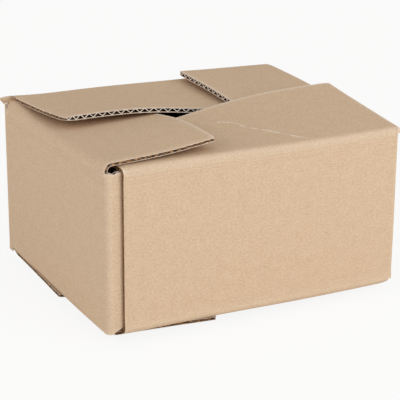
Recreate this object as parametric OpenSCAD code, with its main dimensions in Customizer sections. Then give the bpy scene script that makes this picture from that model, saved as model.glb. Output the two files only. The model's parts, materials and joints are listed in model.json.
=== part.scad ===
// Closed shipping carton, folded from one slotted blank of corrugated board
// Origin: middle of the floor area, on the surface the carton stands on
// X runs along the long sides, the long side with the glued joint faces -Y

/* [Carton] */
// Length over the short panels
carton_l = 240; // [210:5:420]
// Width over the long panels
carton_w = 195; // [150:5:225]
// Height of the panels between the scored folds
panel_h = 125.5; // [60:0.5:300]

/* [Board] */
// Thickness of the corrugated board
board_t = 3.8; // [3:0.1:5]
// Distance from one flute to the next
flute_pitch = 8; // [6:0.1:10]
// Thickness of each flat liner
liner_t = 0.45; // [0.3:0.05:0.7]
// Width of the fluted paper glued down at each crest
crest_w = 0.8; // [0.6:0.1:1.6]

/* [Folds] */
// Inside radius of the scored folds over the long panels
long_bend = 1; // [0.5:0.1:2.5]
// Inside radius of the softer folds over the short panels
short_bend = 2.4; // [1:0.1:4]
// Inside radius of the upright corners
corner_bend = 0.6; // [0.3:0.1:2]
// How far each top fold line rolls up at its free end and down at its tucked end
fold_roll = 1.9; // [1:0.1:2.5]
// The same at the bottom folds
foot_roll = 1.2; // [0.5:0.1:2.5]

/* [Flaps] */
// Gap in the middle between the free edges of the long flaps
middle_gap = 7; // [3:0.5:30]
// How much less deep the short flaps are than the long ones
short_trim = 5.5; // [2:0.5:15]
// Room between one flap and the flap it lies on
flap_gap = 0.5; // [0.4:0.1:1.5]
// Slot left at the tucked end of each flap
slot_w = 7; // [5:0.5:12]
// Inset of the loose corner of the long flaps at their free edge
long_loose_in = 5.2; // [3:0.1:8]
// Inset of the loose corner of the short flaps at their free edge
short_loose_in = 4.6; // [4:0.1:8]
// Depth below the fold level where the slots end
slot_floor = 2.6; // [1.5:0.1:4]

/* [Top flaps] */
// Height of the loose tip of the front flap over the fold level
front_tip = 9.6; // [9:0.1:15]
// Height of the loose tip of the back flap
back_tip = 9.4; // [9:0.1:15]
// Height of the loose tip of the left flap
left_tip = 10.4; // [6:0.1:15]
// Height of the loose tip of the right flap
right_tip = 6.2; // [6:0.1:15]
// Height of the middle of the left flap's free edge
left_mid = 3.3; // [3:0.1:6]
// Height of the middle of the right flap's free edge
right_mid = 3.8; // [3:0.1:6]
// Radius of the worn corner of the back flap
worn_r = 5; // [2:0.5:10]

/* [Bottom flaps] */
// How far the loose tips hang below the bottom folds; the carton stands on them
foot_drop = 7; // [6:0.1:12]
// How far the middle of a short bottom flap's free edge hangs down
foot_mid = -1.2; // [-2.5:0.1:1]
// How much less deep the short bottom flaps are than the long ones
foot_trim = 2.2; // [0.5:0.1:15]
// Slot left at the tucked end of each bottom flap
foot_slot = 11; // [10:0.5:16]
// Inset of the loose side of the long bottom flaps
foot_long_in = 4.5; // [4:0.1:8]
// Inset of the loose side of the short bottom flaps
foot_short_in = 10.8; // [8:0.1:14]
// How far the loose and tucked ends bend apart just past the bottom folds
foot_press = 1.2; // [0.8:0.1:2]

/* [Glued joint] */
// Width of the glue tab from the corner
tab_w = 36; // [25:1:60]
// Distance from the corner to the raw edge of the front panel
joint_in = 11; // [8:0.5:20]
// How far the glue tab is pressed into the front panel
joint_crush = 0.8; // [0.3:0.1:1.5]
// Slope of the tapered tab ends, in degrees
tab_taper = 20; // [5:1:35]

/* [Hidden] */

kraft = [0.76, 0.63, 0.50];
half_l = carton_l / 2;
half_w = carton_w / 2;
long_flap = (carton_w - middle_gap) / 2; // depth of the flaps on the long panels
short_flap = long_flap - short_trim;
short_foot = long_flap - foot_trim;
long_fold_r = long_bend + board_t; // outside radii
short_fold_r = short_bend + board_t;
corner_r = corner_bend + board_t;
base_z = foot_drop; // bottom folds stand this far above the floor
top_z = base_z + panel_h;
stack = board_t + flap_gap; // one flap above another
tuck_dip = 3; // the tucked corner of a short flap lies this far below its fold
joint_step = board_t - joint_crush; // front panel stands proud of the tab by this
score_depth = short_fold_r + max(fold_roll, foot_roll) + 2; // panels are flat between the scores at this depth
crease_w = 5; // flutes are crushed this far past the fold
flute_half = (flute_pitch - crest_w) / 2; // half width of a flute at its liner
flute_depth = 1.25 * flute_pitch; // deeper in, nothing shows of the flutes
side_skin = 1.3 * liner_t; // liner and paste left at a side cut
side_groove = 1.6; // depth of the flute laid open along a side cut
groove_slope = 0.6; // its sides close in by this much
press = 0.1; // the upright creases are this much thinner on each face
tab_press = 0.2; // and the glue tab by this much
lap = 1; // panels and creases share this much board, and grooves start this far past a crease
long_root_in = 0.4; // inset of a loose end at its fold
short_root_in = 3.4;
torn_w = [joint_in + 1, joint_in - 4, joint_in - 5.5, corner_r]; // top of the tab: places along the tear
torn_h = [1.9, 2.8, 4.4, 4.8]; // and how deep it is torn there
tab_notch = 0.6; // the tab's lower end starts this far above the slot's floor
front_ear = 2.4; // a long fold is squeezed out this far past its corner
back_ear = 4;
ear_r = 2.4;
ear_root = 9; // start of the swelling, before the corner
cut = 1; // how far cutting tools reach past a face
strip_w = 19; // bent board is built from strips about this wide
fold_steps = 4;
corner_steps = 6;
$fn = 12;

// Where a flap ends: root and free edge on the loose side, the same on the tucked side,
// then where its panel ends on both sides
function ends(half, root_in, edge_in, slot, panel_in) =
    [half - root_in, half - edge_in, slot - half, slot - half, half - slot_w, panel_in - half];
long_ends = ends(half_l, long_root_in, long_loose_in, slot_w, slot_w);
joint_ends = ends(half_l, long_root_in, long_loose_in, joint_in, joint_in);
short_ends = ends(half_w, short_root_in, short_loose_in, slot_w, slot_w);
long_foot_ends = ends(half_l, foot_long_in, foot_long_in, foot_slot, slot_w);
joint_foot_ends = ends(half_l, foot_long_in, foot_long_in, joint_in, joint_in);
short_foot_ends = ends(half_w, foot_short_in, foot_short_in, foot_slot, slot_w);

function mix(a, b, k) = a + (b - a) * k;
function backwards(list) = [for (i = [len(list) - 1:-1:0]) list[i]];
// Runs smoothly from 1 at the loose end of a flap to -1 at its tucked end
function swing(k) = sin(90 * sin(90 * (1 - 2 * k)));

// How far the flaps' turn has got where the free edges of two neighbours cross
function hold(ends, half, reach) = swing((ends[1] - half + reach) / (ends[1] - ends[3]));
top_hold = [hold(long_ends, half_l, short_flap), hold(short_ends, half_w, long_flap)];
foot_hold = [hold(long_foot_ends, half_l, short_foot), hold(short_foot_ends, half_w, long_flap)];

// A rise law is [height at the middle, lift at the loose end, drop at the tucked end]
function short_rise(tip, mid) = [mid, tip - mid, mid + tuck_dip];
// A long flap lies on one short flap and is held down by the other
function long_rise(tip, lies_on, held_by, hold) =
    let (up = lies_on[0] - hold[1] * lies_on[2] + stack)
    let (low = held_by[0] + hold[1] * held_by[1] - stack)
    let (lift = (tip - up) / (1 - hold[0]), mid = tip - lift)
    [mid, lift, max(mid + stack, (mid - low) / hold[0])];

left_rise = short_rise(left_tip, left_mid);
right_rise = short_rise(right_tip, right_mid);
front_rise = long_rise(front_tip, right_rise, left_rise, top_hold);
back_rise = long_rise(back_tip, left_rise, right_rise, top_hold);
short_foot_rise = short_rise(foot_drop, foot_mid);
long_foot_rise = long_rise(foot_drop, short_foot_rise, short_foot_rise, foot_hold);

// A flap is [panel plane, fold radius, depth, ends, rise law, fold level, up or down,
// roll of its fold, roll of the flap itself]
function top_flap(plane, fold_r, depth, ends, rise) =
    [plane, fold_r, depth, ends, rise, top_z, 1, fold_roll, fold_roll];
function foot_flap(plane, fold_r, depth, ends, rise) =
    [plane, fold_r, depth, ends, rise, base_z, -1, foot_roll, foot_roll + foot_press];
front_pair = [
    top_flap(half_w, long_fold_r, long_flap, joint_ends, front_rise),
    foot_flap(half_w, long_fold_r, long_flap, joint_foot_ends, long_foot_rise)];
right_pair = [
    top_flap(half_l, short_fold_r, short_flap, short_ends, right_rise),
    foot_flap(half_l, short_fold_r, short_foot, short_foot_ends, short_foot_rise)];
back_pair = [
    top_flap(half_w, long_fold_r, long_flap, long_ends, back_rise),
    foot_flap(half_w, long_fold_r, long_flap, long_foot_ends, long_foot_rise)];
left_pair = [
    top_flap(half_l, short_fold_r, short_flap, short_ends, left_rise),
    foot_flap(half_l, short_fold_r, short_foot, short_foot_ends, short_foot_rise)];

// Height of the fold and of the free edge at a place s along the panel
function share(f, s) = (f[3][1] - s) / (f[3][1] - f[3][3]);
function fold_rise(f, s) = f[7] * swing(share(f, s));
function flap_rise(f, s) = f[8] * swing(share(f, s));
function edge_rise(f, s) =
    let (w = swing(share(f, s)))
    f[4][0] + (w > 0 ? f[4][1] : f[4][2]) * w;
function tilt(f, s) = asin((edge_rise(f, s) - flap_rise(f, s)) / (f[2] - f[1]));
// A place along the panel line at a share k of the flap's length, root or free edge
function root_at(f, k) = mix(f[3][0], f[3][2], k);
function edge_at(f, k) = mix(f[3][1], f[3][3], k);

// A point of the board: s along the panel, turn round the fold, d in from the panel, w deep
function fold_point(f, s, turn, w, rise) =
    let (r = f[1] - w, a = turn * (90 - tilt(f, s)))
    [s, f[1] - f[0] - r * cos(a), f[5] + f[6] * (rise - f[1] + r * sin(a))];
function flap_point(f, s, d, w) =
    fold_point(f, s, 1, w, flap_rise(f, s)) + (d - f[1]) * [0, cos(tilt(f, s)), f[6] * sin(tilt(f, s))];

// Half a rib: from the score in the panel, over the fold and out past the free edge
function half_rib(f, k, w) =
    let (root = root_at(f, k), edge = edge_at(f, k), past = mix(root, edge, crease_w / (f[2] - f[1])))
    concat(
        [[mix(f[3][4], f[3][5], k), w - f[0], f[5] - f[6] * score_depth]],
        [for (i = [0:fold_steps]) fold_point(f, root, i / fold_steps, w, fold_rise(f, root))],
        f[8] > f[7] ? [flap_point(f, past, f[1] + crease_w, w)] : [],
        [flap_point(f, edge, f[2] + 2 * cut, w)]);
// A rib runs over both folds of a panel, from one flap to the other
function rib(pair, k, w) = concat(backwards(half_rib(pair[0], k, w)), half_rib(pair[1], k, w));

// A closed sheet between two grids of points
module sheet(outer, inner) {
    rows = len(outer);
    cols = len(outer[0]);
    under = rows * cols;
    points = concat([for (row = outer) each row], [for (row = inner) each row]);
    quads = concat(
        [for (i = [0:rows - 2], j = [0:cols - 2])
            let (a = i * cols + j) [a, a + 1, a + cols + 1, a + cols]],
        [for (i = [0:rows - 2], j = [0:cols - 2])
            let (a = under + i * cols + j) [a, a + cols, a + cols + 1, a + 1]],
        [for (i = [0:rows - 2], j = [0, cols - 1])
            let (a = i * cols + j, b = a + under, n = cols)
            j == 0 ? [a, a + n, b + n, b] : [a, b, b + n, a + n]],
        [for (i = [0, rows - 1], j = [0:cols - 2])
            let (a = i * cols + j, b = a + under)
            i == 0 ? [a, b, b + 1, a + 1] : [a, a + 1, b + 1, b]]);
    faces = [for (q = quads) each [[q[0], q[1], q[2]], [q[0], q[2], q[3]]]];
    polyhedron(points, faces);
}

// A panel with the flap above and the flap below it, bent from one strip of board
module folded_side(pair) {
    strips = ceil((pair[0][3][0] - pair[0][3][2]) / strip_w);
    difference() {
        sheet([for (i = [0:strips]) rib(pair, i / strips, 0)],
            [for (i = [0:strips]) rib(pair, i / strips, board_t)]);
        for (f = pair) {
            free_edge_cut(f);
            flutes(f);
            open_side(f, f[3][0], f[3][1], -1);
            open_side(f, f[3][2], f[3][3], 1);
        }
    }
}

// Trims a flap straight at its depth
module free_edge_cut(f) {
    reach = 3 * score_depth;
    translate([-f[0] * 2, f[2] - f[0], f[5] - reach])
        cube([f[0] * 4, 4 * cut, 2 * reach]);
}

// Rounds the loose corner of a flap off
module worn_corner(f) {
    translate([f[3][1] - worn_r, f[2] - f[0] - worn_r, f[5]])
        difference() {
            translate([0, 0, -score_depth])
                cube([worn_r + cut, worn_r + cut, 3 * score_depth]);
            translate([0, 0, -2 * score_depth])
                cylinder(r = worn_r, h = 5 * score_depth, $fn = 32);
        }
}

// One flute, seen at the free edge and running in beside its neighbours
module flute(f, s, wide_w, peak_w) {
    run = [0, cos(tilt(f, s)), f[6] * sin(tilt(f, s))];
    corners = [[-flute_half, wide_w], [flute_half, wide_w], [0, peak_w]];
    hull()
        polyhedron(
            [for (d = [-flute_depth, 3 * cut], c = corners) flap_point(f, s + c[0], f[2], c[1]) + d * run],
            [[0, 1, 2], [5, 4, 3], [0, 3, 4, 1], [1, 4, 5, 2], [2, 5, 3, 0]]);
}

module flutes(f) {
    first = f[3][3] + flute_pitch / 4;
    count = floor((f[3][0] - first) / flute_pitch * 2);
    for (i = [0:count])
        if (i % 2 == 0)
            flute(f, first + i * flute_pitch / 2, liner_t, board_t - 2 * liner_t);
        else
            flute(f, first + i * flute_pitch / 2, board_t - liner_t, 2 * liner_t);
}

// A cut along the flutes lays one of them open between the two liners
module open_side(f, root, edge, inward) {
    low = side_skin;
    high = board_t - side_skin;
    ends = [[root, f[1] + crease_w + lap], [edge, f[2] + cut]];
    corners = [[-cut, low], [side_groove, low + groove_slope], [side_groove, high - groove_slope], [-cut, high]];
    hull()
        polyhedron(
            [for (e = ends, c = corners) flap_point(f, e[0] + inward * c[0], e[1], c[1])],
            [[0, 1, 2, 3], [7, 6, 5, 4], [0, 4, 5, 1], [1, 5, 6, 2], [2, 6, 7, 3], [3, 7, 4, 0]]);
}

// Plan of one upright crease, a little thinner than the board, its corner at the origin
module crease_plan(reach_x, reach_y) {
    function arc(r) = [for (i = [0:corner_steps])
        let (a = 90 * i / corner_steps) [corner_r - r * cos(a), corner_r - r * sin(a)]];
    polygon(concat(
        [[press, reach_y]],
        arc(corner_r - press),
        [[reach_x, press], [reach_x, board_t - press]],
        backwards(arc(corner_bend + press)),
        [[board_t - press, reach_y]]));
}

// The four upright corners, as high as the slots' floors
module upright_creases() {
    reach = max(slot_w, foot_slot) + lap;
    translate([0, 0, base_z + slot_floor])
        linear_extrude(panel_h - 2 * slot_floor) {
            for (x = [0, 1], y = [0, 1])
                if (x == 1 || y == 1)
                    mirror([x, 0])
                        mirror([0, y])
                            translate([-half_l, -half_w])
                                crease_plan(reach, reach);
            translate([-half_l, -half_w + joint_step])
                crease_plan(corner_r + lap, reach);
        }
}

// Tapered at both ends, with its top torn down beside the corner
module glue_tab() {
    rise = (tab_w - corner_r) * tan(tab_taper);
    torn = [for (i = [0:3]) [torn_w[i], panel_h - torn_h[i]]];
    foot = slot_floor + tab_notch;
    translate([-half_l, -half_w + joint_step + board_t - tab_press, base_z])
        rotate([90, 0, 0])
            linear_extrude(board_t - 2 * tab_press)
                polygon(concat([[corner_r, foot], [tab_w, foot + rise], [tab_w, panel_h - rise]], torn));
}

// End of a long fold, squeezed out past the corner
module fold_ear(f, reach) {
    hull()
        for (s = [half_l - ear_root, half_l + reach - ear_r])
            translate([s, f[1] - f[0] - lap, top_z + fold_rise(f, half_l) - ear_r - 3 * press])
                sphere(ear_r);
}

module carton() {
    sides = [front_pair, right_pair, back_pair, left_pair];
    color(kraft) {
        for (i = [0:3])
            rotate([0, 0, 90 * i])
                difference() {
                    folded_side(sides[i]);
                    if (i == 2)
                        worn_corner(sides[i][0]);
                }
        upright_creases();
        glue_tab();
        fold_ear(front_pair[0], front_ear);
        rotate([0, 0, 180])
            fold_ear(back_pair[0], back_ear);
    }
}

carton();
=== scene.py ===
import json
import math
from functools import partial
import bpy
import numpy as np
from mathutils import Matrix, Vector


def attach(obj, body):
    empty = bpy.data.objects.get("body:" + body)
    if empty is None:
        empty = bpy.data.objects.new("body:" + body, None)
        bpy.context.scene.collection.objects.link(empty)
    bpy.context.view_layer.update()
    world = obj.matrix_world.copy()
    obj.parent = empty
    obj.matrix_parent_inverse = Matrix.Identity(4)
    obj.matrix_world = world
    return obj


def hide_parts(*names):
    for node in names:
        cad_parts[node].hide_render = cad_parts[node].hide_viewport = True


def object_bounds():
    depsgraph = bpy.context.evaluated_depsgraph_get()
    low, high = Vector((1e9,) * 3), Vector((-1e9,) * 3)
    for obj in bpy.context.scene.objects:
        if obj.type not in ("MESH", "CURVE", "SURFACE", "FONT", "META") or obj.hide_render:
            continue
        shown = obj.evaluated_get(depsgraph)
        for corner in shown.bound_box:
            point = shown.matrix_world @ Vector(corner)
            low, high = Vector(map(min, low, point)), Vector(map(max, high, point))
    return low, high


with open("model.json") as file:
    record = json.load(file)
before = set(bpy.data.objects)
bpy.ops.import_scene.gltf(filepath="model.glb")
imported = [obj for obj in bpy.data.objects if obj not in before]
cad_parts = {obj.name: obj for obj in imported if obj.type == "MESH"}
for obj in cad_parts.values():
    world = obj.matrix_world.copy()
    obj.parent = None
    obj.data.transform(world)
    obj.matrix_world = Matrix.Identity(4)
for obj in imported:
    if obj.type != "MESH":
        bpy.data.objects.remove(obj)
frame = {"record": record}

cadBox = [list(corner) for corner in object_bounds()]
mm = 0.001
mounts = {m["name"]: m["pos_m"] for m in frame["record"]["mounts"]}

# Closed shipping carton of corrugated board. Sizes in mm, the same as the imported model's apart from wear.
carton = {
    "length": 240.0,
    "width": (cadBox[1][1] - cadBox[0][1]) / mm,
    "panelMiddle": mounts["front_panel"][2] / mm,
    "longBend": 1.0,  # inside radii of the folds
    "shortBend": 2.4,
    "cornerBend": 0.6,
    "foldRoll": 1.9,
    "middleGap": 7.0,
    "shortTrim": 5.5,
    "slot": 7.0,
    "slotFloor": 2.6,
    "longLooseIn": 5.2,
    "shortLooseIn": 4.6,
    "longRootIn": 0.4,
    "shortRootIn": 3.4,
    "jointIn": 12.2,  # raw edge of the front panel, from the corner; crushed 1.2 further in than it was cut
    "jointStep": 3.0,
    "tabWidth": 36.0,
}

foot = {
    "drop": 7.0,  # loose corners of the bottom flaps hang this far below the folds
    "middle": -1.2,
    "roll": 1.2,
    "press": 1.2,  # bend just past the fold, where a neighbour lies against it
    "pressWidth": 5.0,
    "trim": 2.2,
    "slot": 11.0,
    "longIn": 4.4,
    "shortIn": 10.8,
}

board = {
    "thickness": 3.8,
    "liner": 0.56,
    "pitch": 8.0,
    "edgeDepth": 20.0,  # flutes are modelled this far in from a free edge
    "sideDepth": 3.0,
    "flapGap": 0.5,
    "paperIn": 1.5,  # the fluted paper ends this far from a side cut
    "paperGap": 1.0,  # and where the liners are squeezed closer than this
    "linerWave": 0.12,  # liners sink this far between the flutes at a free edge
}

# Top flaps: height of the loose corner over the fold, and of the middle of the short flaps
flapHeights = {
    "frontTip": 10.4,
    "backTip": 10.3,
    "leftTip": 10.4,
    "rightTip": 6.2,
    "leftMiddle": 3.3,
    "rightMiddle": 3.8,
    "tuckDip": 3.0,
}

wear = {
    "sidePinch": 0.3,  # share of the thickness lost where a die cut the side
    "pinchReach": 3.0,
    "ragged": 0.22,  # how unevenly an edge is cut, in mm
    "cornerRound": {"back": 5.0, "front": 0.8, "left": 1.6, "right": 2.4, "foot": 1.6},
    "cornerPinch": {"back": 0.5, "front": 0.12, "left": 0.3, "right": 0.2, "foot": 0.25},
    "sideIn": {"back": 6.5, "left": 5.0},  # these flaps' loose sides run further in, past the fold
    "sideStart": {"back": 0.6, "left": -0.12},  # from this share of the fold on
    "foldRoll": {"front": -0.8},  # this fold is pressed straight
    "foldLift": {"back": 1.6, "left": 2.4},  # a fold's loose end that stands up, as it isn't pressed
    "tuckLift": {"left": 2.8, "right": -2.9},  # a tucked end whose fold stands up, or is pressed down
    "tuckOut": {"left": 4.5},  # and spreads towards the corner
    "ear": {"front": 0.8, "back": 3.5},  # fold ends squeezed out past the corner
    "earLift": {"back": 0.5},
    "earPinch": {"back": 0.95},  # share of the thickness lost where the ear is squeezed shut
    "slotTop": {"left": 0.9},  # the left panel's back corner is cut only this far below the fold
    "cornerSlots": (2.6, 2.3, 1.8, 1.3, 0.9),  # and the columns round that corner, from the back panel on
    "foldRubAndHighlight": (1.0, 0.3, 0.5, 0.15),  # how much lighter the top folds are painted, partly worn paper and partly painted highlight: front, right, back, left
    # the same for the bottom folds: partly worn paper, partly painted highlight
    "bottomRubAndHighlight": 0.3,
    "panelWave": 0.3,
    "flapWave": 0.5,
}

reach = {  # how far from its edge or corner each kind of wear goes, in mm
    "raggedEdge": 4.0,
    "raggedSide": 3.0,
    "ear": 4.5,
    "earPinch": 2.5,
    "sideIn": 18.0,
    "sag": 7.0,
    "flapWave": 30.0,
    "panel": 8.0,
    "corner": 1.6,  # this one in radii of the corner
}

# Wear of a fold: its reach along the fold, how soon it starts round the fold, how soon it ends on the flat
foldReach = {
    "foldLift": (26.0, 1.0, 1.4),
    "tuckLift": (30.0, 1.0, 2.5),
    "tuckOut": (6.0, 2.2, 8.0),
    "earLift": (6.0, 2.0, 8.0),
}
earForm = {"end": 1.15, "shutEnd": 1.08, "shutFade": 0.05, "power": 1.5}  # in shares of the fold
sideFade = 0.5
waveSize = {"edge": 3.1, "side": 4.7, "joint": 5.3, "flap": (34.0, 40.0), "panel": (30.0, 26.0)}

halfL = carton["length"] / 2
halfW = carton["width"] / 2
bottomZ = foot["drop"]
topZ = 2 * carton["panelMiddle"] - bottomZ
thick = board["thickness"]
stack = thick + board["flapGap"]
longDepth = halfW - carton["middleGap"] / 2
cornerR = carton["cornerBend"] + thick
slotLow = bottomZ + carton["slotFloor"]


def swing(k):  # 1 at the loose end of a flap, -1 at its tucked end
    return np.sin(np.pi / 2 * np.sin(np.pi / 2 * (1 - 2 * np.asarray(k, float))))


def smooth(x):
    x = np.clip(x, 0.0, 1.0)
    return x * x * (3 - 2 * x)


def bell(way, width):  # 1 in the middle, falling off over the width
    return np.exp(-(way / width) ** 2)


def makeFlap(side, isTop):
    name = ("front", "right", "back", "left")[side]
    isLong = side % 2 == 0
    size = "long" if isLong else "short"
    half = halfL if isLong else halfW
    rootIn = carton[size + "RootIn"] if isTop else foot[size + "In"]
    edgeIn = carton[size + "LooseIn"] if isTop else foot[size + "In"]
    slot = carton["slot"] if isTop else foot["slot"]
    foldR = carton[size + "Bend"] + thick
    depth = longDepth - (0 if isLong else carton["shortTrim"] if isTop else foot["trim"])
    tucked = (carton["jointIn"] if name == "front" else slot) - half
    return {
        "side": side, "name": name, "up": 1 if isTop else -1, "level": topZ if isTop else bottomZ,
        "half": half, "plane": halfW if isLong else halfL,
        "foldR": foldR, "depth": depth, "flat": depth - foldR,
        "root": (half - rootIn, tucked), "edge": (half - edgeIn, tucked),
        "fullEdge": (half - edgeIn, slot - half),
        "roll": wear["foldRoll"].get(name, carton["foldRoll"]) if isTop else foot["roll"],
        "press": 0.0 if isTop else foot["press"],
    }


def shortRise(tip, middle):  # height at the middle, lift at the loose end, drop at the tucked end
    return middle, tip - middle, middle + flapHeights["tuckDip"]


def longRise(tip, liesOn, heldBy, holds):  # a long flap lies on one short flap and under the other
    up = liesOn[0] - holds[1] * liesOn[2] + stack
    low = heldBy[0] + holds[1] * heldBy[1] - stack
    lift = (tip - up) / (1 - holds[0])
    middle = tip - lift
    return middle, lift, max(middle + stack, (middle - low) / holds[0])


def hold(flap, neighbourDepth):  # how far the flap has turned where its edge crosses its neighbour's
    loose, tucked = flap["fullEdge"]
    return swing((loose - flap["half"] + neighbourDepth) / (loose - tucked))


def flapSet(isTop, tips, shorts):  # front, right, back, left
    flaps = [makeFlap(side, isTop) for side in range(4)]
    holds = hold(flaps[2], flaps[1]["depth"]), hold(flaps[1], flaps[2]["depth"])
    front, right, back, left = flaps
    right["rise"], left["rise"] = shorts
    front["rise"] = longRise(tips[0], shorts[0], shorts[1], holds)
    back["rise"] = longRise(tips[1], shorts[1], shorts[0], holds)
    return flaps


topFlaps = flapSet(True, (flapHeights["frontTip"], flapHeights["backTip"]),
                   (shortRise(flapHeights["rightTip"], flapHeights["rightMiddle"]),
                    shortRise(flapHeights["leftTip"], flapHeights["leftMiddle"])))
bottomFlaps = flapSet(False, (foot["drop"], foot["drop"]), (shortRise(foot["drop"], foot["middle"]),) * 2)


def turned(flap, s):
    return swing((flap["edge"][0] - s) / (flap["edge"][0] - flap["edge"][1]))


def tilt(flap, s):
    w = turned(flap, s)
    middle, lift, drop = flap["rise"]
    height = middle + np.where(w > 0, lift, drop) * w
    return np.arcsin((height - (flap["roll"] + flap["press"]) * w) / flap["flat"])


def tangentZ(flap, s):  # where the flat panel ends and the fold begins
    return flap["level"] + flap["up"] * (flap["roll"] * turned(flap, s) - flap["foldR"])


def foldPoint(flap, s, turn, w, rise):
    r = flap["foldR"] - w
    a = turn * (np.pi / 2 - tilt(flap, s))
    z = flap["level"] + flap["up"] * (rise - flap["foldR"] + r * np.sin(a))
    return np.stack(np.broadcast_arrays(s, flap["foldR"] - flap["plane"] - r * np.cos(a), z), -1)


def edgePoint(flap, s, w):  # the free edge is cut square to the board
    t = tilt(flap, s)
    bottomR = flap["foldR"] - thick
    along = (flap["flat"] + bottomR * np.sin(t)) / np.cos(t)
    step = np.stack(np.broadcast_arrays(0 * t, np.cos(t), flap["up"] * np.sin(t)), -1)
    rise = (flap["roll"] + flap["press"]) * turned(flap, s)
    return foldPoint(flap, s, 1.0, w, rise) + along[..., None] * step


def turnSide(points, side):  # quarter turns about Z carry the front's frame to the other sides
    c, s = ((1, 0), (0, 1), (-1, 0), (0, -1))[side]
    x, y = points[..., 0], points[..., 1]
    return np.stack([c * x - s * y, s * x + c * y, points[..., 2]], -1)


def spaced(low, high, step):
    return np.linspace(low, high, max(2, int(round((high - low) / step)) + 1))


def ripple(x, y, seed):  # slow waves of four sines, each finer and turned further, from 0 to 1
    total = 0.0
    for n in range(4):
        angle, pace = 1.7 * n + 0.9 * seed, 0.6 + 0.55 * n
        total = total + np.sin(pace * (x * math.cos(angle) + y * math.sin(angle)) + 2.3 * angle)
    return 0.5 + total / 8


# A soft crease across the front flap, from near its free edge to its fold. Each entry has the way from
# the fold, the place along it, and how strongly the paper is broken there.
crease = {
    "path": ((0.5, 44.0, 0.0), (7.5, 36.7, 0.9), (25.3, 24.5, 1.0), (39.3, 13.2, 0.8), (52.5, 10.1, 1.0),
             (58.1, 2.5, 1.0), (63.8, -4.6, 0.6), (67.0, -9.0, 0.0)),
    "height": 0.4,
    "width": 1.7,
    "rise": 1.5,  # how soon the ridge has its full height
}


def creaseAt(s, fromFold):  # signed way across the crease in mm, and its strength
    up, place, strength = np.array(crease["path"]).T
    slope = np.interp(fromFold, (up[1:] + up[:-1]) / 2, np.diff(place) / np.diff(up))
    way = (s - np.interp(fromFold, up, place)) / np.sqrt(1 + slope ** 2)
    return way, np.interp(fromFold, up, strength, left=0.0, right=0.0) + 0 * way


def flapPoints(flap, s, q, w):  # q runs 0 to 1 round the fold, then 1 to 2 out to the free edge
    s, q, w = np.reshape(s, (-1, 1, 1)), np.reshape(q, (1, -1, 1)), np.reshape(w, (1, 1, -1))
    root0, root1 = flap["root"]
    flat = flap["flat"]
    width = root0 - root1
    turn, t = np.clip(q, 0, 1), np.clip(q - 1, 0, 1)
    fromLoose, fromEdge = root0 - s + 0 * q, (1 - t) * flat + 0 * s
    isTop = flap["up"] > 0
    seed = flap["side"] + (0 if isTop else 4)
    corner = flap["name"] if isTop else "foot"
    r = wear["cornerRound"][corner]
    a, b = np.clip(r - fromLoose, 0, r), np.clip(r - fromEdge, 0, r)
    fromLoose = fromLoose + a * (1 - np.sqrt(1 - b * b / (2 * r * r)))  # rounds the loose corner off
    fromEdge = fromEdge + b * (1 - np.sqrt(1 - a * a / (2 * r * r)))
    uneven = wear["ragged"] * ripple(s / waveSize["edge"], 0 * s, seed)
    fromEdge = fromEdge + uneven * np.exp(-fromEdge / reach["raggedEdge"])
    uneven = wear["ragged"] * ripple(fromEdge / waveSize["side"], 0 * s, seed + 2) * smooth(turn)
    fromLoose = fromLoose + uneven * np.exp(-fromLoose / reach["raggedSide"])
    fromTucked = width - fromLoose
    k, t = fromLoose / width, 1 - fromEdge / flat

    def amount(key):  # how much of a kind of wear this flap has
        return wear[key].get(flap["name"], 0) if isTop else 0

    def foldWear(key):
        far, start, end = foldReach[key]
        place = fromTucked if key.startswith("tuck") else fromLoose
        return amount(key) * bell(place, far) * smooth(start * turn) * (1 - smooth(end * t))

    pinch = wear["sidePinch"] * bell(np.minimum(fromLoose, fromTucked), wear["pinchReach"])
    cornerPinch = wear["cornerPinch"][corner] * bell(np.hypot(fromLoose, fromEdge), reach["corner"] * r)
    pinch = np.maximum(pinch, cornerPinch) * smooth(2 * turn)
    waveX, waveY = waveSize["flap"]
    wave = wear["flapWave"] * ripple(s / waveX, fromEdge / waveY, seed + 1)
    wave = wave * smooth(fromEdge / reach["flapWave"])
    isOuter = np.where(w < thick / 2, 1.0, -1.0)
    crests = 0.5 + 0.5 * isOuter * np.sin(2 * np.pi * s / board["pitch"])
    sag = isOuter * board["linerWave"] * crests * np.exp(-fromEdge / reach["sag"])
    middle = thick / 2
    w = middle + (w - middle) * (1 - pinch) + (wave + sag) * smooth(4 * (q - 1))
    shut = amount("earPinch") * bell(fromLoose, reach["earPinch"])
    w = w * (1 - shut * smooth((earForm["shutEnd"] - q) / earForm["shutFade"]))
    if isTop and flap["name"] == "front":
        way, strength = creaseAt(s, t * flat)
        ridge = crease["height"] * np.minimum(crease["rise"] * strength, 1)
        w = w - ridge * bell(way, crease["width"])

    ear = np.sin(np.pi * np.clip(q / earForm["end"], 0, 1)) ** earForm["power"]
    ear = amount("ear") * ear * bell(fromLoose, reach["ear"])
    sideIn = amount("sideIn") * np.exp(-fromLoose / reach["sideIn"])
    sideIn = sideIn * smooth((q - amount("sideStart")) / sideFade)
    root = root0 + (root1 - root0) * k + ear - sideIn - foldWear("tuckOut")
    edge = flap["edge"][0] + (flap["edge"][1] - flap["edge"][0]) * k - sideIn
    lift = foldWear("foldLift") + foldWear("tuckLift") + foldWear("earLift")
    roll = flap["roll"] + flap["press"] * smooth(t * flat / foot["pressWidth"])
    base = foldPoint(flap, root, turn, w, roll * turned(flap, root) + lift)
    tip = edgePoint(flap, edge + 0 * w, w)
    return turnSide(base + (tip - base) * t[..., None], flap["side"])


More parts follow.
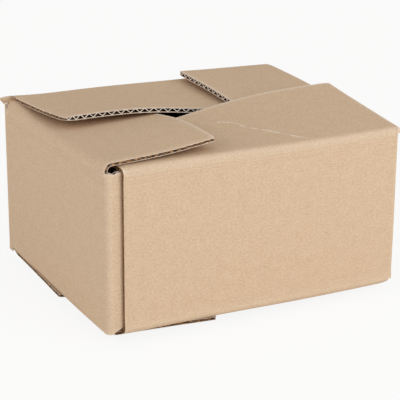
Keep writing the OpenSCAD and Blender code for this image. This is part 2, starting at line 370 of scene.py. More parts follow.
# Columns of the wall in the order of the flat blank: front, right, back, left, glue tab. Each has its
# outer point, its way inwards, its lowest and highest place, its place along the blank and on its
# panel's fold, its panel, and whether a flap goes on above and below.
columnStep = board["pitch"] / 4
arcSteps = 6
slotEnd = 0.6  # the end of a slot takes this much of the fold
leastStep = 0.1
nearly = 0.01
wall = {key: [] for key in ("outer", "inward", "low", "high", "along", "s", "side", "top", "foot")}


def addColumn(outer, inward, low, high, s=math.nan, side=-1, onTop=0, onFoot=0):
    along = 0.0
    if wall["outer"]:
        last = wall["outer"][-1]
        along = wall["along"][-1] + math.hypot(outer[0] - last[0], outer[1] - last[1])
    for key, value in zip(wall, (outer, inward, low, high, along, s, side, onTop, onFoot)):
        wall[key].append(value)


def addPanel(side, start, end):
    top, bottom = topFlaps[side], bottomFlaps[side]
    front = np.array([[0.0, -top["plane"], 0.0], [0.0, 1.0, 0.0], [1.0, 0.0, 0.0]])
    plane, inward, ahead = turnSide(front, side)
    breaks = [start]
    for root in (top["root"][1], bottom["root"][1]):
        if root > breaks[-1] + leastStep:
            breaks += [root - slotEnd, root]
    if bottom["root"][0] < end - leastStep:
        breaks += [bottom["root"][0], bottom["root"][0] + slotEnd]
    breaks.append(end)
    places = [start]
    for a, b in zip(breaks, breaks[1:]):
        places += list(spaced(a, b, columnStep))[1:]
    topSlot = wear["slotTop"].get(top["name"], carton["slotFloor"])
    for s in places:
        onTop = s > top["root"][1] - nearly
        onFoot = bottom["root"][1] - nearly < s < bottom["root"][0] + nearly
        low = float(tangentZ(bottom, s)) if onFoot else slotLow
        high = float(tangentZ(top, s)) if onTop else topZ - topSlot
        p = plane + s * ahead
        addColumn((p[0], p[1]), (inward[0], inward[1]), low, high, s, side, onTop, onFoot)


def addCorner(x, y, startAngle, topSlots=(carton["slotFloor"],) * (arcSteps - 1)):
    for n, topSlot in enumerate(topSlots, 1):
        a = math.radians(startAngle + 90 * n / arcSteps)
        c, s = math.cos(a), math.sin(a)
        addColumn((x + cornerR * c, y + cornerR * s), (-c, -s), slotLow, topZ - topSlot)


tab = {
    "taper": 20.0,  # degrees
    "notch": 1.3,
    "overlap": 0.05,  # glued to the front panel
    "ramp": 3.0,  # it is crushed over this length, up to the front panel's raw edge
    "tornAt": (4.4, 5.4, 6.6, 8.5, 12.5),  # from the corner
    "tornDepth": (2.7, 3.7, 3.5, 2.9, 2.3),
    "fray": 0.5,
    "frayPace": 2.9,
    "frayFrom": 4.5,
    "frayRamp": 2.0,
}


def addTab():
    y = carton["jointStep"] - halfW
    glued = thick - carton["jointStep"] + tab["overlap"]  # the tab is crushed under the front panel
    for x in spaced(cornerR - halfL, carton["tabWidth"] - halfL, columnStep):
        fromCorner = x + halfL
        press = glued * smooth((fromCorner - carton["jointIn"] + tab["ramp"]) / tab["ramp"])
        taper = max(0.0, fromCorner - cornerR) * math.tan(math.radians(tab["taper"]))
        notch = tab["notch"] * min(1.0, max(0.0, fromCorner - cornerR))
        torn = float(np.interp(fromCorner, tab["tornAt"], tab["tornDepth"]))
        fray = tab["fray"] * smooth((fromCorner - tab["frayFrom"]) / tab["frayRamp"])
        torn += fray * math.sin(tab["frayPace"] * fromCorner)
        addColumn((x, y + press), (0.0, 1.0), slotLow + taper + notch, topZ - max(torn, taper))


farX, farY = halfL - cornerR, halfW - cornerR
tabY = farY - carton["jointStep"]
addPanel(0, carton["jointIn"] - halfL, farX)
addCorner(farX, -farY, -90)
addPanel(1, -farY, farY)
addCorner(farX, farY, 0)
addPanel(2, -farX, farX)
addCorner(-farX, farY, 90, wear["cornerSlots"])
addPanel(3, -farY, tabY)
addCorner(-farX, -tabY, 180)
addTab()
wall = {key: np.array(wall[key], float) for key in wall}

# Rows of the wall, by their way from a fold, and the faint lines that the scoring wheels leave there
foldRows = np.array([0, 1.0, 2.1, 2.9, 3.7, 4.4, 5.2, 6.0, 6.5, 7.2, 7.9, 9.5, 12, 16, 21, 28, 37, 47])
scoreLines = {"depth": 0.34, "footDepth": 0.14, "width": 0.45, "places": (2.9, 5.2, 7.2)}


def wallPoints(columns, w, z=None):
    pick = {key: wall[key][columns] for key in wall}
    low, high = pick["low"][:, None], pick["high"][:, None]
    if z is None:
        z = np.concatenate([low + foldRows, (high - foldRows)[:, ::-1]], 1)
    else:
        z = z + 0 * low
    fromFold = np.minimum(z - low, high - z)
    along = pick["along"][:, None]
    fade = smooth(fromFold / reach["panel"])
    waveX, waveZ = waveSize["panel"]
    wave = wear["panelWave"] * ripple(along / waveX, z / waveZ, 3) * fade
    groove = sum(bell(fromFold - place, scoreLines["width"]) for place in scoreLines["places"])
    groove = groove * (pick["side"][:, None] >= 0)
    pinch = wear["sidePinch"] * bell(along, wear["pinchReach"]) * fade
    middle = thick / 2
    depth = middle + (np.reshape(w, (1, 1, -1)) - middle) * (1 - pinch[..., None]) + wave[..., None]
    depth[:, :, 0] += np.where(high - z < z - low, scoreLines["depth"], scoreLines["footDepth"]) * groove
    rough = wear["ragged"] * ripple(z / waveSize["joint"], 0 * z, 11) * fade
    rough = rough * np.exp(-along / reach["raggedSide"])
    outer, inward = pick["outer"][:, None, None, :], pick["inward"][:, None, None, :]
    x, y = np.moveaxis(outer + inward * depth[..., None], -1, 0)
    return np.stack([x + rough[..., None], y, np.broadcast_to(z[..., None], depth.shape)], -1)


# The board is built from small six-sided cells in three layers: liner, fluted core, liner.
# Core cells are left out near the cut edges, and the fluted paper is a piece of its own there.
layerW = np.array([0.0, board["liner"], thick - board["liner"], thick])
cells = {"points": [], "blank": [], "rubbed": [], "crease": [], "corners": [], "layer": []}
cellCorners = [(0, 0, 0), (1, 0, 0), (1, 1, 0), (0, 1, 0), (0, 0, 1), (1, 0, 1), (1, 1, 1), (0, 1, 1)]
paper = {"points": [], "across": [], "along": [], "fromCut": [], "quads": []}
paperSteps = 4  # columns of the fluted paper between two columns of the board


def addCells(points, filled, along, up, phase, rubbed, fromCut, fromSide, creased=None):
    ni, nj, nl = points.shape[:3]
    creased = np.zeros((ni, nj, 3)) if creased is None else creased
    creased = np.repeat(creased[:, :, None], nl, 2).reshape(-1, 3)
    offset = sum(len(p) for p in cells["points"])
    blank = np.stack(np.broadcast_arrays(along[:, None, None], up[..., None], layerW), -1)
    rubbed = np.repeat(rubbed[..., None], nl, 2)
    i, j, l = np.nonzero(filled)
    ids = [offset + ((i + a) * nj + (j + b)) * nl + (l + c) for a, b, c in cellCorners]
    values = (points.reshape(-1, 3), blank.reshape(-1, 3), rubbed.ravel(), creased, np.stack(ids, 1), l)
    for key, value in zip(cells, values):
        cells[key].append(value)
    addPaper(points, ~filled[:, :, 1] & (fromSide[:, None] > board["paperIn"]), phase, fromCut)


def addPaper(points, empty, phase, fromCut):
    gap = np.linalg.norm(points[:, :, 2] - points[:, :, 1], axis=2)
    least = np.minimum(np.minimum(gap[1:, 1:], gap[:-1, 1:]), np.minimum(gap[1:, :-1], gap[:-1, :-1]))
    empty = empty & (least > board["paperGap"])
    middle = (points[:, :, 1] + points[:, :, 2]) / 2
    across = (points[:, :, 2] - points[:, :, 1]) / 2
    share = np.linspace(0, 1, paperSteps + 1)[:-1]

    def finer(a):
        between = np.stack([a[:-1] + (a[1:] - a[:-1]) * x for x in share], 1)
        return np.concatenate([between.reshape((-1,) + a.shape[1:]), a[-1:]])

    nj = points.shape[1]
    i, j = np.nonzero(np.repeat(empty, paperSteps, 0))
    offset = sum(len(p) for p in paper["points"])
    quads = offset + np.stack([i * nj + j, (i + 1) * nj + j, (i + 1) * nj + j + 1, i * nj + j + 1], 1)
    phases = np.broadcast_to(finer(phase)[:, None], (len(middle) * paperSteps - paperSteps + 1, nj))
    values = (finer(middle).reshape(-1, 3), finer(across).reshape(-1, 3), phases.reshape(-1),
              finer(fromCut).reshape(-1), quads)
    for key, value in zip(paper, values):
        paper[key].append(value)


# Rows of a flap: steps round its fold, then by their way from the fold and from the free edge. The front
# flap has even rows between the near and the far ones, as its crease runs there.
flapRow = {
    "turns": 8,
    "fromFold": np.array([0.7, 1.5, 2.5, 3.7, 5, 7, 10, 14, 19]),
    "fromEdge": np.array([53, 43, 34, 27, board["edgeDepth"], 13, 7.5, 4, 1.5, 0.5, 0]),
    "creaseFrom": 7.0,
    "creaseStep": 2.0,
}


def flapRows(flap):
    flat = flap["flat"]
    fromFold, fromEdge = flapRow["fromFold"], flapRow["fromEdge"]
    if flap["name"] == "front" and flap["up"] > 0:
        fromEdge = fromEdge[fromEdge < board["edgeDepth"]]
        even = spaced(flapRow["creaseFrom"], flat - board["edgeDepth"], flapRow["creaseStep"])
        fromFold = np.concatenate([fromFold[fromFold < flapRow["creaseFrom"]], even])
    return np.concatenate([np.linspace(0, 1, flapRow["turns"]), 1 + fromFold / flat, 2 - fromEdge / flat])


# How much lighter the paper is painted, the most, and the way in mm over which that fades: rubbed paper at
# the cut edges, sides, tab end, slots and corners, and along the folds a painted highlight that is partly
# worn paper
rubAndHighlight = {
    "edge": (1.3, 1.1),
    "side": (0.7, 1.2),
    "tabEnd": (0.5, 0.8),
    "slot": (0.6, 0.8),
    "panelTop": (0.2, 3.0),
    "fold": 0.3,
    "foldMiddle": 0.4,  # in shares of the fold
    "foldWidth": 0.3,
    "corner": 0.12,
}
foldLength = 1.5  # of a fold, in radii
overhang = {"least": 0.2, "step": 1.0}
openRows = 5  # rows of the wall whose core is open under a slot
farAway = 9.0


def rubbedAndHighlitFrom(key, way):
    most, fade = rubAndHighlight[key]
    return most * np.exp(-way / fade)


def addFlap(flap):
    root0, root1 = flap["root"]
    flat = flap["flat"]
    isTop = flap["up"] > 0
    mine = np.nonzero((wall["side"] == flap["side"]) & (wall["top" if isTop else "foot"] > 0))[0]
    q = flapRows(flap)
    up = np.minimum(q, 1) * flap["foldR"] * foldLength + np.maximum(q - 1, 0) * flat
    level = wall["high" if isTop else "low"][mine]
    s, along = wall["s"][mine], wall["along"][mine]
    parts = [(s, along, level)]
    if root0 > s[-1] + overhang["least"]:  # the loose end of the fold hangs over the corner
        over = spaced(s[-1], root0, overhang["step"])
        parts.append((over, along[-1] + over - s[-1], level[-1] + 0 * over))
    for s, along, level in parts:
        points = flapPoints(flap, s, q, layerW)
        middle, qMiddle = (s[1:] + s[:-1]) / 2, (q[1:] + q[:-1]) / 2
        cellSide = np.minimum(root0 - middle, middle - root1)
        filled = np.ones((len(s) - 1, len(q) - 1, 3), bool)
        nearSide, nearEdge = cellSide < board["sideDepth"], (2 - qMiddle) * flat < board["edgeDepth"]
        filled[:, :, 1] = ~(nearSide[:, None] | nearEdge[None, :])
        fromSide = np.minimum(root0 - s, s - root1)[:, None] + 0 * q
        fromEdge = np.clip(2 - q, 0, 1)[None, :] * flat + 0 * s[:, None]
        # painted highlight round the fold, partly worn paper
        foldRubAndHighlight = rubAndHighlight["fold"] * (wear["foldRubAndHighlight"][flap["side"]] if isTop else wear["bottomRubAndHighlight"])
        rubbed = rubbedAndHighlitFrom("edge", fromEdge) + rubbedAndHighlitFrom("side", fromSide)
        rubbed = rubbed + foldRubAndHighlight * bell(q - rubAndHighlight["foldMiddle"], rubAndHighlight["foldWidth"])[None, :]
        height = level[:, None] + flap["up"] * up
        fromCut = np.minimum(fromSide, fromEdge)
        creased = None
        if isTop and flap["name"] == "front":
            way, strength = creaseAt(s[:, None], (q - 1)[None, :] * flat)
            creased = np.stack([way, strength, 0 * way], -1)
        if not isTop:  # rows run upwards everywhere, so that all cells have the same handedness
            points, filled, height = points[:, ::-1], filled[:, ::-1], height[:, ::-1]
            rubbed, fromCut = rubbed[:, ::-1], fromCut[:, ::-1]
        addCells(points, filled, along, height, s, rubbed, fromCut, cellSide, creased)


def addWall():
    points = wallPoints(np.arange(len(wall["along"])), layerW)
    z, along = points[:, :, 0, 2], wall["along"]
    filled = np.ones((len(points) - 1, points.shape[1] - 1, 3), bool)
    filled[along[:-1] < board["sideDepth"], :, 1] = False
    for name, rows in (("foot", slice(0, openRows)), ("top", slice(-openRows, None))):
        free = (wall[name][:-1] < 1) | (wall[name][1:] < 1)
        filled[free, rows, 1] = False
    raw = along[:, None] + 0 * z
    end = along[-1] - raw
    fromFold = np.minimum(z - wall["low"][:, None], wall["high"][:, None] - z)
    free = np.minimum(wall["top"], wall["foot"])[:, None] < 1
    fromCut = np.minimum(raw, np.where(free, fromFold, farAway))
    isCorner = np.isnan(wall["s"]) & (along < along[-1] - carton["tabWidth"] + cornerR + nearly)
    # Painted highlight, partly worn paper, below the folds; rubbed paper at the tab's end, the slots and
    # the corners
    foldRubAndHighlight = np.array(wear["foldRubAndHighlight"] + (wear["bottomRubAndHighlight"],))[wall["side"].astype(int)][:, None]
    rubbed = rubbedAndHighlitFrom("tabEnd", end) + foldRubAndHighlight * rubbedAndHighlitFrom("panelTop", fromFold)
    rubbed = rubbed + np.where(free, rubbedAndHighlitFrom("slot", fromFold), 0) + rubAndHighlight["corner"] * isCorner[:, None]
    fromJoint = (along[1:] + along[:-1]) / 2 - board["paperIn"]  # paper ends twice as far in at the joint
    addCells(points, filled, along, z, along, rubbed, fromCut, fromJoint)


outerSide, innerSide, cutEdge, insideBoard, jointEdge = range(5)  # material slots of the board
weldSteps = 1e4  # points that agree to a ten-thousandth of a mm are one
sharpEdge = 38.0


def boardFaces():
    joined = {key: np.concatenate(cells[key]) for key in cells}
    keys = np.round(joined["points"] * weldSteps).astype(np.int64)
    _, first, same = np.unique(keys, axis=0, return_index=True, return_inverse=True)
    box, layer = same.reshape(-1)[joined["corners"]], joined["layer"]
    sides = ((0, 4, 5, 1), (1, 5, 6, 2), (2, 6, 7, 3), (3, 7, 4, 0))
    quads = [box[:, loop] for loop in sides]
    kinds = [np.where(layer == 1, insideBoard, cutEdge)] * 4
    quads += [box[:, (0, 1, 2, 3)], box[:, (4, 7, 6, 5)]]
    kinds += [np.where(layer == 0, outerSide, insideBoard), np.where(layer == 2, innerSide, insideBoard)]
    quads, kinds = np.concatenate(quads), np.concatenate(kinds)
    _, where, count = np.unique(np.sort(quads, 1), axis=0, return_inverse=True, return_counts=True)
    alone = count[where.reshape(-1)] == 1
    onJoint = (joined["blank"][first][quads][..., 0] < nearly).all(1)
    kinds = np.where((kinds == cutEdge) & onJoint, jointEdge, kinds)
    values = {key: joined[key][first] for key in ("blank", "rubbed", "crease")}
    return joined["points"][first], quads[alone], kinds[alone], values


def meshFrom(name, points, faces, values, kinds=None):
    mesh = bpy.data.meshes.new(name)
    mesh.from_pydata((points * mm).tolist(), [], faces.tolist())
    if kinds is not None:
        mesh.polygons.foreach_set("material_index", kinds.astype(np.int32))
    for key, value in values.items():
        isVector = value.ndim == 2
        layer = mesh.attributes.new(key, "FLOAT_VECTOR" if isVector else "FLOAT", "POINT")
        layer.data.foreach_set("vector" if isVector else "value", value.astype(np.float32).ravel())
    mesh.update()
    piece = bpy.data.objects.new(name, mesh)
    bpy.context.scene.collection.objects.link(piece)
    return piece


def triangles(piece):
    return sum(len(face.vertices) - 2 for face in piece.data.polygons)


addWall()
for flap in topFlaps + bottomFlaps:
    addFlap(flap)
points, faces, kinds, values = boardFaces()
cartonBoard = meshFrom("carton_board", points, faces, values, kinds)
cartonBoard.data.shade_smooth()
cartonBoard.data.set_sharp_from_angle(angle=math.radians(sharpEdge))
print("board:", triangles(cartonBoard), "triangles")


def addNode(tree, kind, settings=None, *inputs, out=None, **named):  # a node with its settings and links
    node = tree.nodes.new(kind if "Node" in kind else "ShaderNode" + kind)
    for key, value in (settings or {}).items():
        setattr(node, key, value)
    pairs = list(zip([socket for socket in node.inputs if socket.enabled], inputs))
    pairs += [(node.inputs[key.replace("_", " ")], value) for key, value in named.items()]
    for socket, value in pairs:
        if isinstance(value, bpy.types.NodeSocket):
            tree.links.new(value, socket)
        else:
            socket.default_value = value
    return node.outputs[out] if out else next((socket for socket in node.outputs if socket.enabled), node)


# Settings that many nodes share
plus, subtract, multiply, divide, multiplyAdd, scale, sine, arcsine, absolute = (
    {"operation": name} for name in
    ("ADD", "SUBTRACT", "MULTIPLY", "DIVIDE", "MULTIPLY_ADD", "SCALE", "SINE", "ARCSINE", "ABSOLUTE"))
colourMix = {"data_type": "RGBA", "clamp_factor": True}
vector = {"data_type": "FLOAT_VECTOR"}
fourD = {"noise_dimensions": "4D"}
sealed = 0.005 * mm  # a sheet's two faces are merged where their edges lie this close


def newGroup(name, values):  # Geometry Nodes tree with an input for each value
    tree = bpy.data.node_groups.new(name, "GeometryNodeTree")
    tree.interface.new_socket("Geometry", in_out="OUTPUT", socket_type="NodeSocketGeometry")
    kinds = {key: "Int" if isinstance(value, int) else "Float" for key, value in values.items()}
    for label, kind in {"Geometry": "Geometry", **kinds, "Material": "Material"}.items():
        tree.interface.new_socket(label, in_out="INPUT", socket_type="NodeSocket" + kind)
    return tree, partial(addNode, tree), tree.nodes.new("NodeGroupInput").outputs


def sealSheet(add, *faces):  # front and back of a sheet become one closed skin
    joined = add("GeometryNodeJoinGeometry")
    for part in faces:
        joined.id_data.links.new(part, joined.node.inputs[0])
    return add("GeometryNodeMergeByDistance", Geometry=joined, Distance=sealed)


def closeGroup(add, geometry, material):
    real = add("GeometryNodeRealizeInstances", Geometry=geometry)
    coated = add("GeometryNodeSetMaterial", Geometry=real, Material=material)
    add("NodeGroupOutput", Geometry=coated)


def applyGroup(piece, tree, values):  # the modifier's result becomes the piece's own plain mesh
    modifier = piece.modifiers.new(tree.name, "NODES")
    modifier.node_group = tree
    for item in tree.interface.items_tree:
        if item.in_out == "INPUT" and item.name in values:
            modifier[item.identifier] = values[item.name]
    evaluated = piece.evaluated_get(bpy.context.evaluated_depsgraph_get())
    mesh = bpy.data.meshes.new_from_object(evaluated)
    piece.modifiers.clear()
    piece.data = mesh
    print(piece.name + ":", triangles(piece), "triangles")


def linear(code):  # sRGB hex colour to the renderer's linear values
    parts = [int(code[n:n + 2], 16) / 255 for n in (1, 3, 5)]
    return tuple(p / 12.92 if p <= 0.04045 else ((p + 0.055) / 1.055) ** 2.4 for p in parts) + (1.0,)


def newMaterial(name):
    material = bpy.data.materials.new(name)
    material.use_nodes = True
    tree = material.node_tree
    tree.nodes.clear()
    return material, partial(addNode, tree)


paperIor = 1.47


def finishPaper(add, paper, colour, height, grain):  # relief is in mm
    normal = add("Bump", Strength=1.0, Distance=paper["relief"] * mm, Height=height)
    rough = add("MapRange", None, grain, 0.3, 0.7, *paper["rough"])
    shader = add("BsdfPrincipled", Base_Color=colour, IOR=paperIor, Roughness=rough, Normal=normal)
    add("OutputMaterial", Surface=shader)


# Unbleached kraft liner, rolled from long softwood fibres: matt, finely mottled, with short fibres lying
# along the paper machine's direction, a few dark bark specks, and the flutes faintly telegraphing through.
# A pattern has its size in mm along, up and through the sheet, its detail and its roughness. A ramp has
# the values it runs between and what it gives there, or else gives 0 and 1.
kraft = {
    "outer": {"dark": "#cfb191", "light": "#e3c8aa", "speck": "#8f7358",
              "fibre": "#efdcc6", "worn": "#f6e6d5"},
    "inner": {"dark": "#bd9f80", "light": "#dcc1a3", "speck": "#84694f",
              "fibre": "#e6d0b8", "worn": "#e2cbb4"},
    "patterns": {
        "grain": ((1.9, 1.4, 1.4), 2.0, 0.6),
        "cloud": ((9.0, 7.0, 7.0), 2.0, 0.5),
        "fibre": ((5.0, 0.55, 0.55), 1.0, 0.5),
        "worn": ((1.1, 1.1, 1.1), 2.0, 0.5),
        "gaps": ((5.0, 5.0, 5.0), 1.0, 0.5),
    },
    "tone": {"grain": 0.78, "cloud": 0.22, "flute": 0.006},
    "toneRamp": (0.3, 0.7),
    "fibreRamp": (0.66, 0.78, 0.0, 0.5),
    "speckGap": 5.5,
    "speckRamp": (0.04, 0.1, 0.45, 0.0),
    "wornRamp": (0.3, 0.6),
    "creaseWander": 1.2,
    "creaseRamp": (0.4, 0.95, 1.0, 0.0),
    "gapsRamp": (0.42, 0.5),
    "reliefShare": {"fibre": 0.5, "flute": 0.25},
    "relief": 0.06,
    "rough": (0.93, 0.8),
}


def kraftLiner(name, colours):
    material, add = newMaterial(name)
    place = add("Attribute", {"attribute_name": "blank"}, out="Vector")
    rubbed = add("Attribute", {"attribute_name": "rubbed"}, out="Fac")
    creased = add("Attribute", {"attribute_name": "crease"}, out="Vector")
    creaseWay = add("SeparateXYZ", None, creased, out="X")
    creaseStrength = creaseWay.node.outputs["Y"]
    pattern = {}
    for key, (size, detail, roughness) in kraft["patterns"].items():
        scaled = add("VectorMath", divide, place, size)
        pattern[key] = add("TexNoise", Vector=scaled, Scale=1.0, Detail=detail, Roughness=roughness)
    turns = add("Math", multiply, add("SeparateXYZ", None, place, out="X"), 2 * math.pi / board["pitch"])
    flute = add("Math", sine, turns)

    tone = add("Math", multiply, pattern["grain"], kraft["tone"]["grain"])
    tone = add("Math", multiplyAdd, pattern["cloud"], kraft["tone"]["cloud"], tone)
    tone = add("Math", multiplyAdd, flute, kraft["tone"]["flute"], tone)
    share = add("MapRange", None, tone, *kraft["toneRamp"])
    colour = add("Mix", colourMix, share, linear(colours["dark"]), linear(colours["light"]))
    fibre = add("MapRange", None, pattern["fibre"], *kraft["fibreRamp"])
    cell = add("VectorMath", divide, place, (kraft["speckGap"],) * 3)
    speck = add("TexVoronoi", Vector=cell, Scale=1.0)
    speck = add("MapRange", None, speck, *kraft["speckRamp"])
    # Paler where the paper is rubbed, and a painted highlight, partly worn paper, along the folds
    worn = add("MapRange", None, pattern["worn"], *kraft["wornRamp"])
    worn = add("Math", {"operation": "MULTIPLY", "use_clamp": True}, rubbed, worn)
    way = add("Math", multiplyAdd, pattern["fibre"], kraft["creaseWander"], creaseWay)
    way = add("Math", subtract, way, kraft["creaseWander"] / 2)
    way = add("Math", absolute, way)
    line = add("MapRange", None, way, *kraft["creaseRamp"])
    gaps = add("MapRange", None, pattern["gaps"], *kraft["gapsRamp"])
    line = add("Math", multiply, line, gaps)
    line = add("Math", multiply, line, creaseStrength)
    for share, key in ((fibre, "fibre"), (speck, "speck"), (worn, "worn"), (line, "worn")):
        colour = add("Mix", colourMix, share, colour, linear(colours[key]))

    parts = kraft["reliefShare"]
    height = add("Math", multiplyAdd, pattern["fibre"], parts["fibre"], pattern["grain"])
    height = add("Math", multiplyAdd, flute, parts["flute"], height)
    finishPaper(add, kraft, colour, height, pattern["grain"])
    return material


# Raw cut of the board: torn, unpressed paper fibres, paler and rosier than the rolled face, fuzzy and matt.
# The slit edge at the joint is coloured darker and browner.
cutPaper = {
    "pale": "#f4e8dc",
    "brown": "#cdb096",
    "fibre": "#d9c0a6",
    "slitPale": "#cfa277",
    "slitBrown": "#936742",
    "grain": 0.7,
    "grainRough": 0.7,
    "toneRamp": (0.38, 0.6),
    "relief": 0.12,
    "rough": (0.97, 0.88),
}


def mottled(add, paper, low, high):  # a fine grain between two colours
    place = add("TexCoord", out="Object")
    grain = add("TexNoise", Vector=place, Scale=1 / (paper["grain"] * mm), Detail=3.0,
                Roughness=paper["grainRough"])
    share = add("MapRange", None, grain, *paper["toneRamp"])
    return grain, add("Mix", colourMix, share, linear(low), linear(high))


def rawCut(name, pale, brown):
    material, add = newMaterial(name)
    grain, colour = mottled(add, cutPaper, brown, pale)
    finishPaper(add, cutPaper, colour, grain, grain)
    return material


# Recycled medium and the liners' glued backs: greyer, rougher paper, mottled with a dark colour that is
# painted shade inside the flutes; the medium gets more painted shade the deeper it lies.
medium = {
    "raw": "#fbf0e4",
    "face": "#a98d72",
    # painted shade colour for the paper deep inside the flutes
    "deep": "#5d4838",
    "grain": 1.2,
    "grainRough": 0.65,
    "toneRamp": (0.35, 0.65, 0.2, 0.8),
    "paintedShadeRamp": (0.0, 7.0),  # mm from the cut, over which the painted shade deepens
    "rawRamp": (0.2, 0.9, 1.0, 0.0),
    "relief": 0.08,
    "rough": (0.97, 0.86),
}


def corePaper(name, hasCut):
    material, add = newMaterial(name)
    grain, colour = mottled(add, medium, medium["deep"], medium["face"])
    if hasCut:
        fromCut = add("Attribute", {"attribute_name": "fromCut"}, out="Fac")
        # painted shade, darker the further in from the cut; the cut itself stays pale
        share = add("MapRange", None, fromCut, *medium["paintedShadeRamp"])
        colour = add("Mix", colourMix, share, colour, linear(medium["deep"]))
        share = add("MapRange", None, fromCut, *medium["rawRamp"])
        colour = add("Mix", colourMix, share, colour, linear(medium["raw"]))
    finishPaper(add, medium, colour, grain, grain)
    return material


# In the order of the board's material slots
for material in (kraftLiner("kraft_outer_liner", kraft["outer"]),
                 kraftLiner("kraft_inner_liner", kraft["inner"]),
                 rawCut("raw_cut_liner", cutPaper["pale"], cutPaper["brown"]),
                 corePaper("glued_liner_back_painted_shade", False),
                 rawCut("slit_cut_liner", cutPaper["slitPale"], cutPaper["slitBrown"])):
    cartonBoard.data.materials.append(material)
print("board materials done")


# Fluted paper between the liners: a wave through the middle of the board, given its thickness
fluting = {
    "Flute Pitch": board["pitch"],
    "Flank": 0.93,  # the nearer to 1, the straighter the flutes' flanks
    "Paper Thickness": 0.5 * mm,
    "Crush": 0.16 * mm,
    "Crush Scale": 260.0,  # dents in a metre
    "Seed": 4.0,
}


def flutedPaperGroup():
    tree, add, given = newGroup("fluted_paper", fluting)
    place = add("GeometryNodeInputPosition")
    dent = add("TexNoise", fourD, Vector=place, W=given["Seed"], Scale=given["Crush Scale"],
               Detail=1.0, out="Color")
    dent = add("VectorMath", subtract, dent, (0.5, 0.5, 0.5))
    dent = add("VectorMath", scale, dent, Scale=given["Crush"])
    along = add("GeometryNodeInputNamedAttribute", {"data_type": "FLOAT"}, "along")
    across = add("GeometryNodeInputNamedAttribute", vector, "across")
    turns = add("Math", divide, along, given["Flute Pitch"])
    wave = add("Math", sine, add("Math", multiply, turns, 2 * math.pi))
    wave = add("Math", arcsine, add("Math", multiply, wave, given["Flank"]))
    most = add("Math", arcsine, given["Flank"])
    wave = add("Math", divide, wave, most)
    move = add("VectorMath", scale, across, Scale=wave)
    move = add("VectorMath", plus, move, dent)
    sheet = add("GeometryNodeSetPosition", Geometry=given["Geometry"], Offset=move)
    sheet = add("GeometryNodeMergeByDistance", Geometry=sheet, Distance=2 * sealed)
    raised = add("GeometryNodeExtrudeMesh", Mesh=sheet, Offset_Scale=given["Paper Thickness"],
                 Individual=False)
    back = add("GeometryNodeFlipFaces", Mesh=sheet)
    closeGroup(add, sealSheet(add, raised, back), given["Material"])
    return tree


# Crushed core: the torn fluted paper that fills the gap between the liners along each side cut
crushed = {"Recess": 1.3 * mm, "Depth": 0.9 * mm, "Seed": 2.0}
strip = {
    "step": 0.55,
    "rows": 6,
    "linerShare": 0.8,  # of the liner's thickness, left at both faces
    "inner": 1.2,  # a second line this far in gives the way into the board
    "foldRun": 8.0,  # length of a fold in the pattern
    "flatStart": 0.5,
    "edgeStop": 0.3,
    "earEnd": 1.05,  # no core shows up to here, where an ear is squeezed shut
    "stretch": 0.33,  # the pattern is drawn out along the cut
    "sideGap": 40,  # and lies elsewhere for each flap, for the top ones and at the joint
    "topGap": 200,
    "jointGap": 900,
}


def ribbon(outer, inner, along, across):  # a strip on a cut, its way in, and its pattern's place
    inward = inner - outer
    inward = inward / np.linalg.norm(inward, axis=-1, keepdims=True)
    ni, nj = outer.shape[:2]
    i, j = np.meshgrid(np.arange(ni - 1), np.arange(nj - 1), indexing="ij")
    i, j = i.ravel(), j.ravel()
    loop = np.stack([i * nj + j, (i + 1) * nj + j, (i + 1) * nj + j + 1, i * nj + j + 1], 1)
    normal = np.cross(outer[1, 0] - outer[0, 0], outer[0, 1] - outer[0, 0])
    if normal @ inward[0, 0] > 0:  # faces look out of the cut
        loop = loop[:, ::-1]
    cut = np.stack(np.broadcast_arrays(along[:, None], across[None, :], 0.0), -1)
    return outer.reshape(-1, 3), inward.reshape(-1, 3), cut.reshape(-1, 3), loop


def sideRibbons():
    face = board["liner"] * strip["linerShare"]
    across = np.linspace(face, thick - face, strip["rows"])
    for flap in topFlaps + bottomFlaps:
        flat = flap["flat"]
        isTop = flap["up"] > 0
        onFlat = spaced(strip["flatStart"], flat - strip["edgeStop"], strip["step"])
        q = np.concatenate([spaced(0, 1, strip["step"] / strip["foldRun"]), 1 + onFlat / flat])
        along = np.where(q < 1, q * strip["foldRun"], strip["foldRun"] + (q - 1) * flat) * strip["stretch"]
        along = along + strip["sideGap"] * flap["side"] + strip["topGap"] * isTop
        root0, root1 = flap["root"]
        for s in ((root0, root0 - strip["inner"]), (root1, root1 + strip["inner"])):
            isEar = s[0] == root0 and isTop and flap["name"] in wear["earPinch"]
            shown = q > strip["earEnd"] if isEar else q >= 0
            points = flapPoints(flap, np.array(s), q[shown], across)
            yield ribbon(points[0], points[1], along[shown] + s[0], across)
    z = spaced(wall["low"][0], wall["high"][0], strip["step"])
    points = wallPoints(np.arange(2), across, z)
    yield ribbon(points[0], points[1], z + strip["jointGap"], across)


def crushedCoreGroup():
    tree, add, given = newGroup("crushed_core", crushed)
    place = add("GeometryNodeInputNamedAttribute", vector, "cut")
    inward = add("GeometryNodeInputNamedAttribute", vector, "inward")
    torn = add("TexNoise", fourD, Vector=place, W=given["Seed"], Scale=1.0, Detail=1.0)
    recess = add("MapRange", None, torn, *tornCore["recessRamp"])
    recess = add("Math", multiply, recess, given["Recess"])
    move = add("VectorMath", scale, inward, Scale=recess)
    front = add("GeometryNodeSetPosition", Geometry=given["Geometry"], Offset=move)
    depth = add("VectorMath", scale, inward, Scale=given["Depth"])
    back = add("GeometryNodeFlipFaces", Mesh=front)
    deep = add("GeometryNodeExtrudeMesh", Mesh=back, Offset=depth, Offset_Scale=1.0, Individual=False)
    closeGroup(add, sealSheet(add, deep, front), given["Material"])
    return tree


